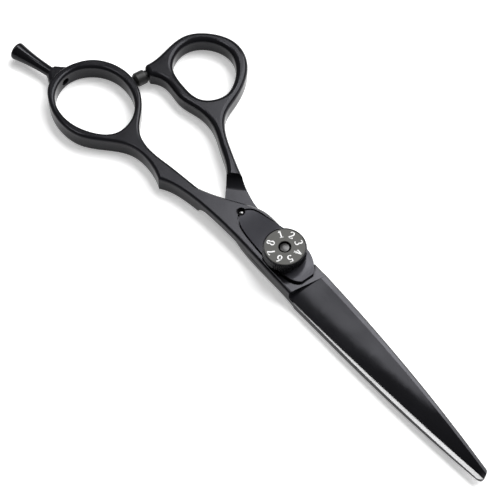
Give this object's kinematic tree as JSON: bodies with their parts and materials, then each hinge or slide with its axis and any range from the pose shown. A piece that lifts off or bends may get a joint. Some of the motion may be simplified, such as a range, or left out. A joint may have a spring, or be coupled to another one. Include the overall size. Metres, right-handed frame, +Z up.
{
  "type": "hair cutting shears",
  "caption": "Offset-handle hair cutting shears with a knurled tension dial, leaf tension plate, screw-on finger rest and rubber bumper.",
  "frame": {"origin": "on the pivot axis, in the plane that the closed shears rest on", "axes": "+X towards the blade tips, +Y towards the thumb ring, +Z up through the tension dial"},
  "size_m": [0.1733, 0.0521, 0.0104],
  "materials": {
    "black_coating": "satin black coating on forged steel",
    "plate_coating": "satin black coating on spring steel",
    "gloss_coating": "gloss black coating",
    "dial_coating": "semi-gloss black coating over knurling",
    "dial_satin": "blasted satin grey",
    "bumper_rubber": "smooth matte rubber",
    "bolt_steel": "dark satin steel",
    "bright_steel": "polished hardened steel",
    "cage_brass": "stamped brass",
    "bush_plastic": "natural low-friction plastic"
  },
  "bodies": {
    "finger_half": {"finger_blade": "black_coating", "finger_rest": "gloss_coating", "rest_washer": "gloss_coating", "tension_plate": "plate_coating", "plate_pin": "bright_steel", "pivot_bolt": "bolt_steel", "upper_race": "bright_steel", "disc_spring": "bright_steel"},
    "thumb_half": {"thumb_blade": "black_coating", "bumper": "bumper_rubber", "bumper_screw": "bright_steel", "pivot_bush": "bush_plastic", "head_washer": "bush_plastic", "bearing_cage": "cage_brass", "bearing_balls": "bright_steel", "lower_race": "bright_steel"},
    "click_slide": {"click_plate": "bright_steel"},
    "dial": {"tension_dial": "dial_coating", "dial_face": "dial_satin", "detent_balls": "bright_steel", "detent_springs": "bright_steel"}
  },
  "joints": [
    {"name": "blade_pivot", "type": "hinge", "parent": "finger_half", "child": "thumb_half", "pos_m": [0, 0, 0.0028], "axis": [0, 0, -1], "range_deg": [0, 75]},
    {"name": "dial_advance", "type": "slide", "parent": "finger_half", "child": "click_slide", "axis": [0, 0, 1], "range_m": [-0.00025, 0.00025], "deforming": ["disc_spring"]},
    {"name": "dial_turn", "type": "hinge", "parent": "click_slide", "child": "dial", "pos_m": [0, 0, 0.0088], "axis": [0, 0, 1], "range_deg": [-180, 180]}
  ],
  "couplings": [
    {"joint": "dial_turn", "follows": "dial_advance", "rad_per_m": 12566}
  ]
}
